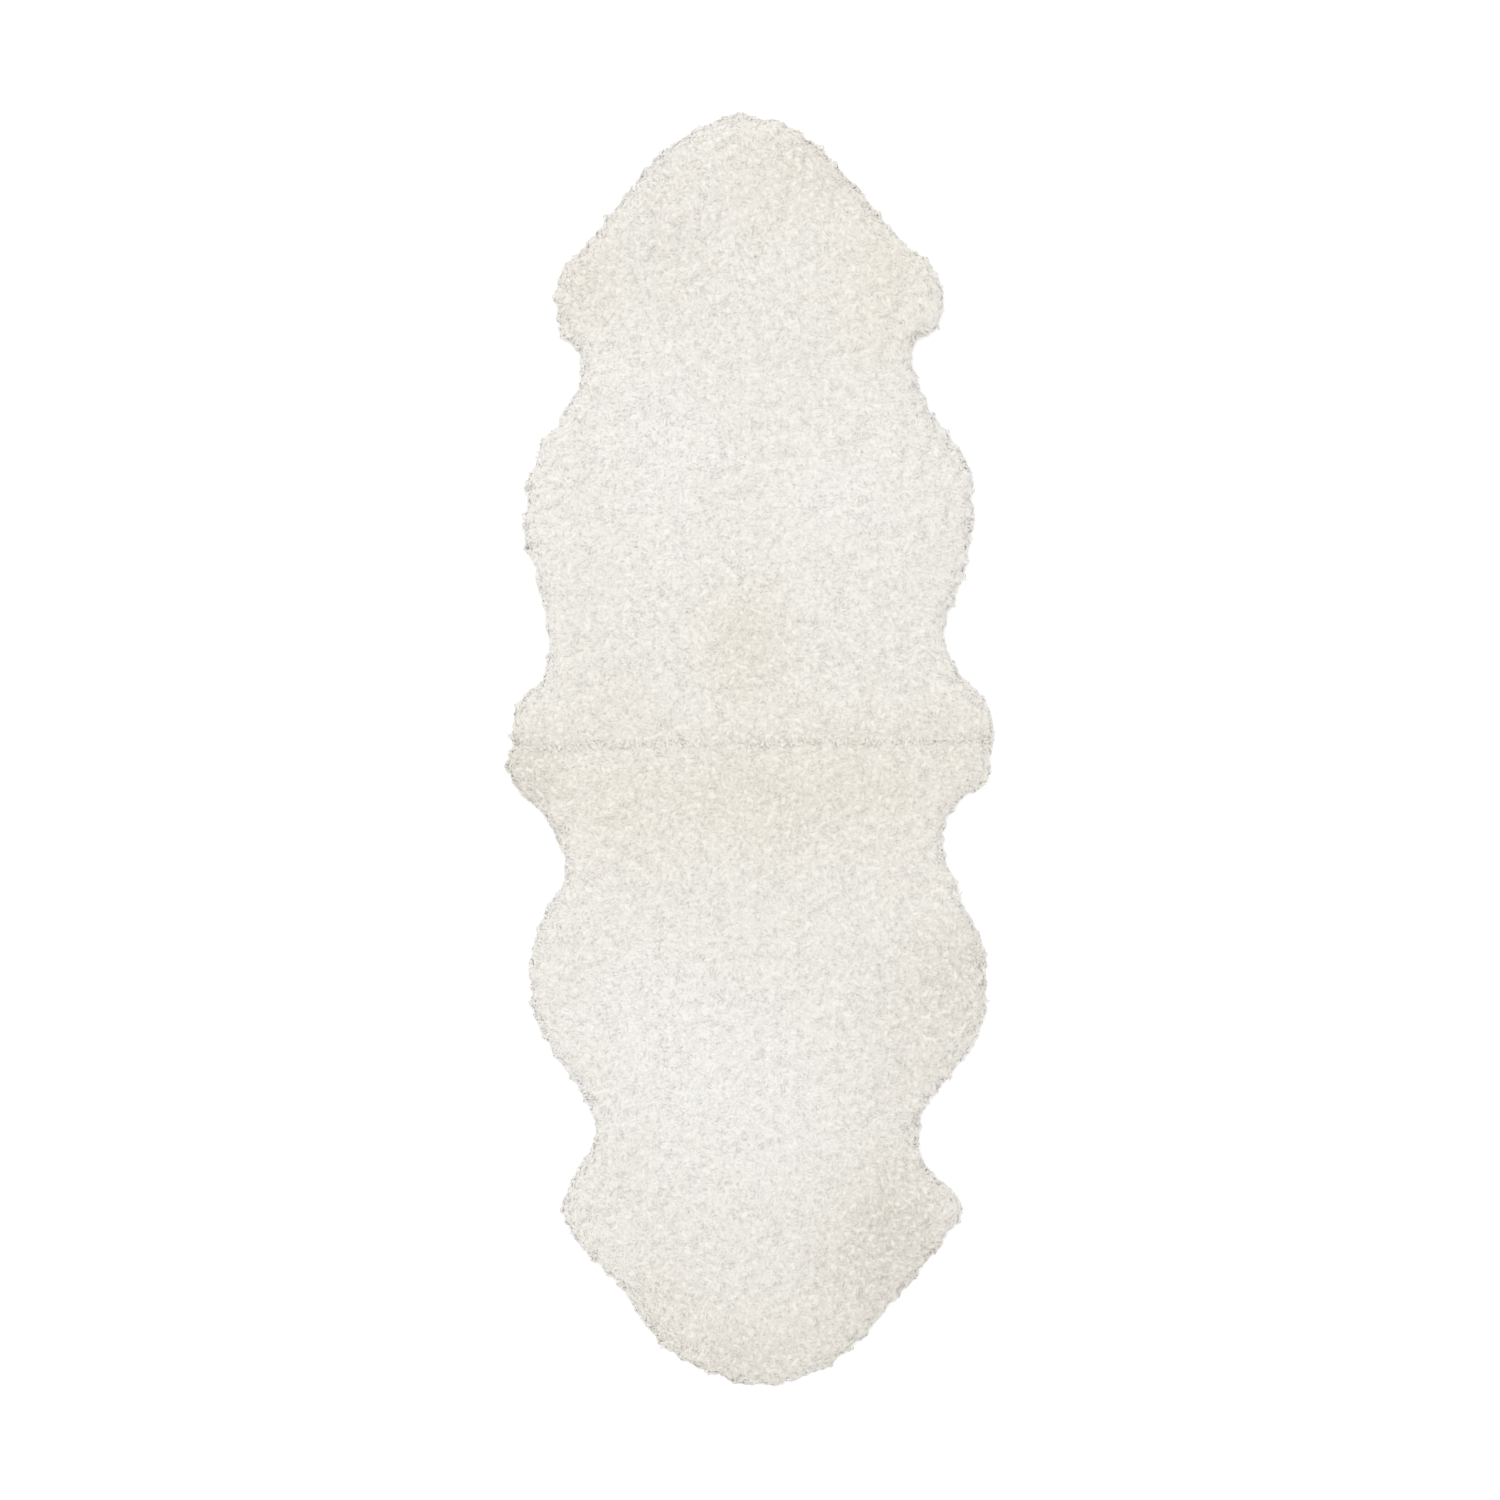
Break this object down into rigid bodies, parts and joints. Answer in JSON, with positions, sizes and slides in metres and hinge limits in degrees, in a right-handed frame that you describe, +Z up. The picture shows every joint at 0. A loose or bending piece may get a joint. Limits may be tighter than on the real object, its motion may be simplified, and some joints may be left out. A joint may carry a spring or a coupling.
{
  "type": "sheepskin rug",
  "caption": "Double sheepskin rug: cream short-wool pelts sewn rump to rump at a cross seam, lying flat with the curly wool up.",
  "frame": {"origin": "on the floor, at the middle of the rug's length and width", "axes": "+Y along the rug towards the far pelt's neck, +X to the right of it, +Z up out of the wool"},
  "size_m": [0.7076, 1.8506, 0.043],
  "materials": {
    "wool": "matt cream wool in tight curls, yellower in soft patches",
    "hide": "undyed suede side of the hide"
  },
  "bodies": {
    "root": {"far_pelt": "wool", "near_pelt": "wool"}
  },
  "joints": []
}
